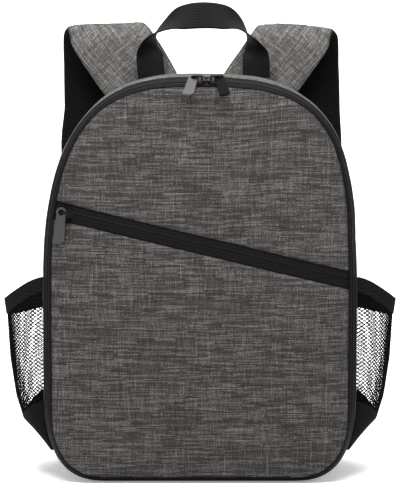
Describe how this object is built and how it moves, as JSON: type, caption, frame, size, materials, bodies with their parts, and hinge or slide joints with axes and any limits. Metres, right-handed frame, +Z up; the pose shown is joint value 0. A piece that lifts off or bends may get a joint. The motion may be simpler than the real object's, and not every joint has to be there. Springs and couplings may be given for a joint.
{
  "type": "camera backpack",
  "caption": "Upright hollow backpack for camera gear with an arched zip-round front, a slanted front pocket zip, net side pockets, a webbing top handle and padded shoulder straps.",
  "frame": {"origin": "on the floor under the middle of the base's flat underside", "axes": "+Z up, -Y out of the front panel, +X to the right of someone who looks at the front"},
  "size_m": [0.3858, 0.2132, 0.4611],
  "materials": {
    "grey_fabric": "heathered woven polyester, matte",
    "black_fabric": "plain woven polyester, matte",
    "zip_tape": "coated zip tape, low sheen",
    "webbing": "ribbed webbing",
    "black_mesh": "padded air mesh",
    "pocket_net": "open knitted net",
    "elastic": "ribbed elastic binding",
    "black_plastic": "moulded, fine grain",
    "gunmetal": "dark nickel plate, satin"
  },
  "bodies": {
    "bag": {"gusset": "grey_fabric", "base": "black_fabric", "back_panel": "black_fabric", "front_panel_upper": "grey_fabric", "front_panel_lower": "grey_fabric", "main_zip_tape": "zip_tape", "bottom_strip": "black_fabric", "pocket_zip_tape": "zip_tape", "top_handle": "webbing", "main_zip_slider_left": "gunmetal", "main_zip_slider_right": "gunmetal", "pocket_zip_slider": "gunmetal", "shoulder_strap_left": "grey_fabric", "shoulder_strap_right": "grey_fabric", "strap_lining_left": "black_mesh", "strap_lining_right": "black_mesh", "strap_webbing_left": "webbing", "strap_webbing_right": "webbing", "strap_anchor_tab_left": "black_fabric", "strap_anchor_tab_right": "black_fabric", "strap_adjuster_left": "black_plastic", "strap_adjuster_right": "black_plastic", "side_pocket_net_left": "pocket_net", "side_pocket_net_right": "pocket_net", "side_pocket_rim_left": "elastic", "side_pocket_rim_right": "elastic", "side_pocket_base_left": "black_fabric", "side_pocket_base_right": "black_fabric"},
    "main_pull_left": {"main_zip_pull_left": "gunmetal"},
    "main_pull_right": {"main_zip_pull_right": "gunmetal"},
    "pocket_pull": {"pocket_zip_pull": "gunmetal"}
  },
  "joints": [
    {"name": "main_pull_left_swivel", "type": "hinge", "parent": "bag", "child": "main_pull_left", "pos_m": [-0.0062, -0.06625, 0.38782], "axis": [0, -0.515, 0.8572], "range_deg": [-70, 20]},
    {"name": "main_pull_right_swivel", "type": "hinge", "parent": "bag", "child": "main_pull_right", "pos_m": [0.0182, -0.06625, 0.38782], "axis": [0, -0.515, 0.8572], "range_deg": [-20, 70]},
    {"name": "pocket_pull_swivel", "type": "hinge", "parent": "bag", "child": "pocket_pull", "pos_m": [-0.13078, -0.07489, 0.2619], "axis": [0, -1, 0], "range_deg": [-80, 30]}
  ]
}
